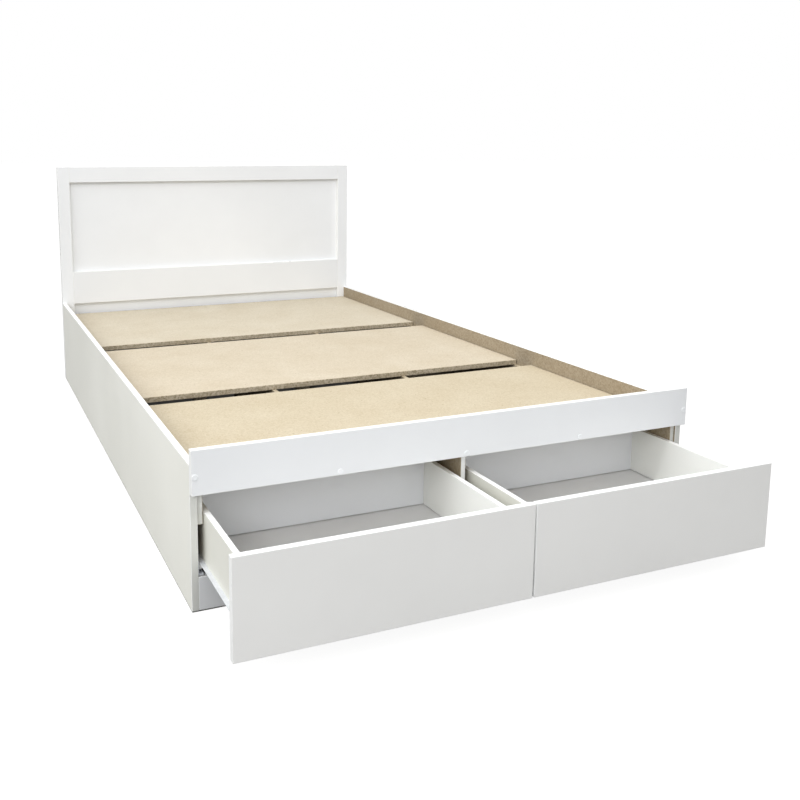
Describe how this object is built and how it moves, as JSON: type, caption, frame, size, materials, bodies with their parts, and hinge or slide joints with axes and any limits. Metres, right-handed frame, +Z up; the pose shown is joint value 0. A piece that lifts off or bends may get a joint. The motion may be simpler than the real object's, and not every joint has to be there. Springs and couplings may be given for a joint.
{
  "type": "bed_frame",
  "caption": "Low white storage bed of melamine-faced chipboard, with a framed headboard, a mattress base of loose boards and drawers on roller runners under the foot end",
  "frame": {"origin": "On the floor, at the middle of the footprint with both drawers drawn out as at rest", "axes": "+X to the right seen from the foot end, +Y from the foot end to the headboard, +Z up"},
  "size_m": [1.24, 2.319, 0.846],
  "materials": {
    "white_melamine": "chipboard with a white satin melamine face and white edge band",
    "raw_chipboard": "unfaced sanded chipboard",
    "runner_steel": "white powder coat",
    "zinc_steel": "bright zinc plate",
    "nylon": "white moulded nylon"
  },
  "bodies": {
    "frame": {"headboard_panel": "white_melamine", "headboard_top_rail": "white_melamine", "headboard_bottom_rail": "white_melamine", "headboard_left_stile": "white_melamine", "headboard_right_stile": "white_melamine", "left_side_panel": "white_melamine", "right_side_panel": "white_melamine", "foot_rail": "white_melamine", "kick_board": "white_melamine", "centre_divider": "raw_chipboard", "bay_back_panel": "raw_chipboard", "left_ledger": "raw_chipboard", "right_ledger": "raw_chipboard", "left_beam": "raw_chipboard", "right_beam": "raw_chipboard", "beam_legs": "raw_chipboard", "leg_glides": "nylon", "base_board_foot": "raw_chipboard", "base_board_middle": "raw_chipboard", "base_board_head": "raw_chipboard", "carcass_screws": "zinc_steel", "foot_rail_caps": "nylon", "headboard_screws": "zinc_steel", "frame_screws": "zinc_steel", "dowels": "raw_chipboard", "beam_brackets": "zinc_steel", "corner_blocks": "nylon", "left_outer_cabinet_runner": "runner_steel", "left_inner_cabinet_runner": "runner_steel", "right_inner_cabinet_runner": "runner_steel", "right_outer_cabinet_runner": "runner_steel", "runner_screws": "zinc_steel"},
    "left_drawer": {"left_drawer_front": "white_melamine", "left_drawer_outer_side": "white_melamine", "left_drawer_inner_side": "white_melamine", "left_drawer_back": "white_melamine", "left_drawer_bottom": "white_melamine", "left_outer_drawer_runner": "runner_steel", "left_inner_drawer_runner": "runner_steel", "left_drawer_dowels": "raw_chipboard", "left_drawer_screws": "zinc_steel"},
    "right_drawer": {"right_drawer_front": "white_melamine", "right_drawer_outer_side": "white_melamine", "right_drawer_inner_side": "white_melamine", "right_drawer_back": "white_melamine", "right_drawer_bottom": "white_melamine", "right_outer_drawer_runner": "runner_steel", "right_inner_drawer_runner": "runner_steel", "right_drawer_dowels": "raw_chipboard", "right_drawer_screws": "zinc_steel"},
    "left_outer_front_roller_body": {"left_outer_front_roller": "nylon"},
    "left_inner_front_roller_body": {"left_inner_front_roller": "nylon"},
    "left_outer_rear_roller_body": {"left_outer_rear_roller": "nylon"},
    "left_inner_rear_roller_body": {"left_inner_rear_roller": "nylon"},
    "right_outer_front_roller_body": {"right_outer_front_roller": "nylon"},
    "right_inner_front_roller_body": {"right_inner_front_roller": "nylon"},
    "right_outer_rear_roller_body": {"right_outer_rear_roller": "nylon"},
    "right_inner_rear_roller_body": {"right_inner_rear_roller": "nylon"}
  },
  "joints": [
    {"name": "left_drawer_slide", "type": "slide", "parent": "frame", "child": "left_drawer", "axis": [0, -1, 0], "range_m": [-0.2565, 0.053]},
    {"name": "right_drawer_slide", "type": "slide", "parent": "frame", "child": "right_drawer", "axis": [0, -1, 0], "range_m": [-0.2565, 0.053]},
    {"name": "left_outer_front_roller_spin", "type": "hinge", "parent": "frame", "child": "left_outer_front_roller_body", "pos_m": [-0.5995, -0.8735, 0.0894], "axis": [1, 0, 0], "continuous": true},
    {"name": "left_inner_front_roller_spin", "type": "hinge", "parent": "frame", "child": "left_inner_front_roller_body", "pos_m": [-0.0115, -0.8735, 0.0894], "axis": [1, 0, 0], "continuous": true},
    {"name": "left_outer_rear_roller_spin", "type": "hinge", "parent": "left_drawer", "child": "left_outer_rear_roller_body", "pos_m": [-0.5995, -0.7565, 0.0836], "axis": [1, 0, 0], "continuous": true},
    {"name": "left_inner_rear_roller_spin", "type": "hinge", "parent": "left_drawer", "child": "left_inner_rear_roller_body", "pos_m": [-0.0115, -0.7565, 0.0836], "axis": [1, 0, 0], "continuous": true},
    {"name": "right_outer_front_roller_spin", "type": "hinge", "parent": "frame", "child": "right_outer_front_roller_body", "pos_m": [0.5995, -0.8735, 0.0894], "axis": [1, 0, 0], "continuous": true},
    {"name": "right_inner_front_roller_spin", "type": "hinge", "parent": "frame", "child": "right_inner_front_roller_body", "pos_m": [0.0115, -0.8735, 0.0894], "axis": [1, 0, 0], "continuous": true},
    {"name": "right_outer_rear_roller_spin", "type": "hinge", "parent": "right_drawer", "child": "right_outer_rear_roller_body", "pos_m": [0.5995, -0.7565, 0.0836], "axis": [1, 0, 0], "continuous": true},
    {"name": "right_inner_rear_roller_spin", "type": "hinge", "parent": "right_drawer", "child": "right_inner_rear_roller_body", "pos_m": [0.0115, -0.7565, 0.0836], "axis": [1, 0, 0], "continuous": true}
  ],
  "couplings": [
    {"joint": "left_outer_front_roller_spin", "follows": "left_drawer_slide", "rad_per_m": 125},
    {"joint": "left_inner_front_roller_spin", "follows": "left_drawer_slide", "rad_per_m": 125},
    {"joint": "left_outer_rear_roller_spin", "follows": "left_drawer_slide", "rad_per_m": 125},
    {"joint": "left_inner_rear_roller_spin", "follows": "left_drawer_slide", "rad_per_m": 125},
    {"joint": "right_outer_front_roller_spin", "follows": "right_drawer_slide", "rad_per_m": 125},
    {"joint": "right_inner_front_roller_spin", "follows": "right_drawer_slide", "rad_per_m": 125},
    {"joint": "right_outer_rear_roller_spin", "follows": "right_drawer_slide", "rad_per_m": 125},
    {"joint": "right_inner_rear_roller_spin", "follows": "right_drawer_slide", "rad_per_m": 125}
  ]
}
